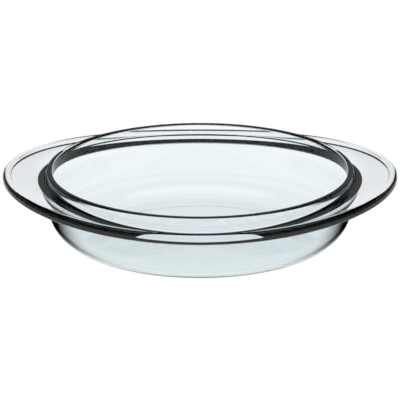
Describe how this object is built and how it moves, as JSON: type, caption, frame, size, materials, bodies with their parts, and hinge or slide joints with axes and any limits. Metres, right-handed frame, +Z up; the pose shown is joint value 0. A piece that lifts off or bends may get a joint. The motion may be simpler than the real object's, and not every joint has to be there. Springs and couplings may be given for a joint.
{
  "type": "oval baking dish",
  "caption": "Oval clear glass baking dish with a flat floor, rounded bowl, raised collar and rim, and a beaded flange that rises to an ear at each end.",
  "frame": {"origin": "centre of the foot, on the plane the dish stands on", "axes": "+X along the length, from the centre to one ear; +Y across the width; +Z up out of the mouth"},
  "size_m": [0.3926, 0.2612, 0.0761],
  "materials": {
    "clear_glass": "polished, clear with a faint blue-green tint"
  },
  "bodies": {
    "root": {"baking_dish": "clear_glass"}
  },
  "joints": []
}
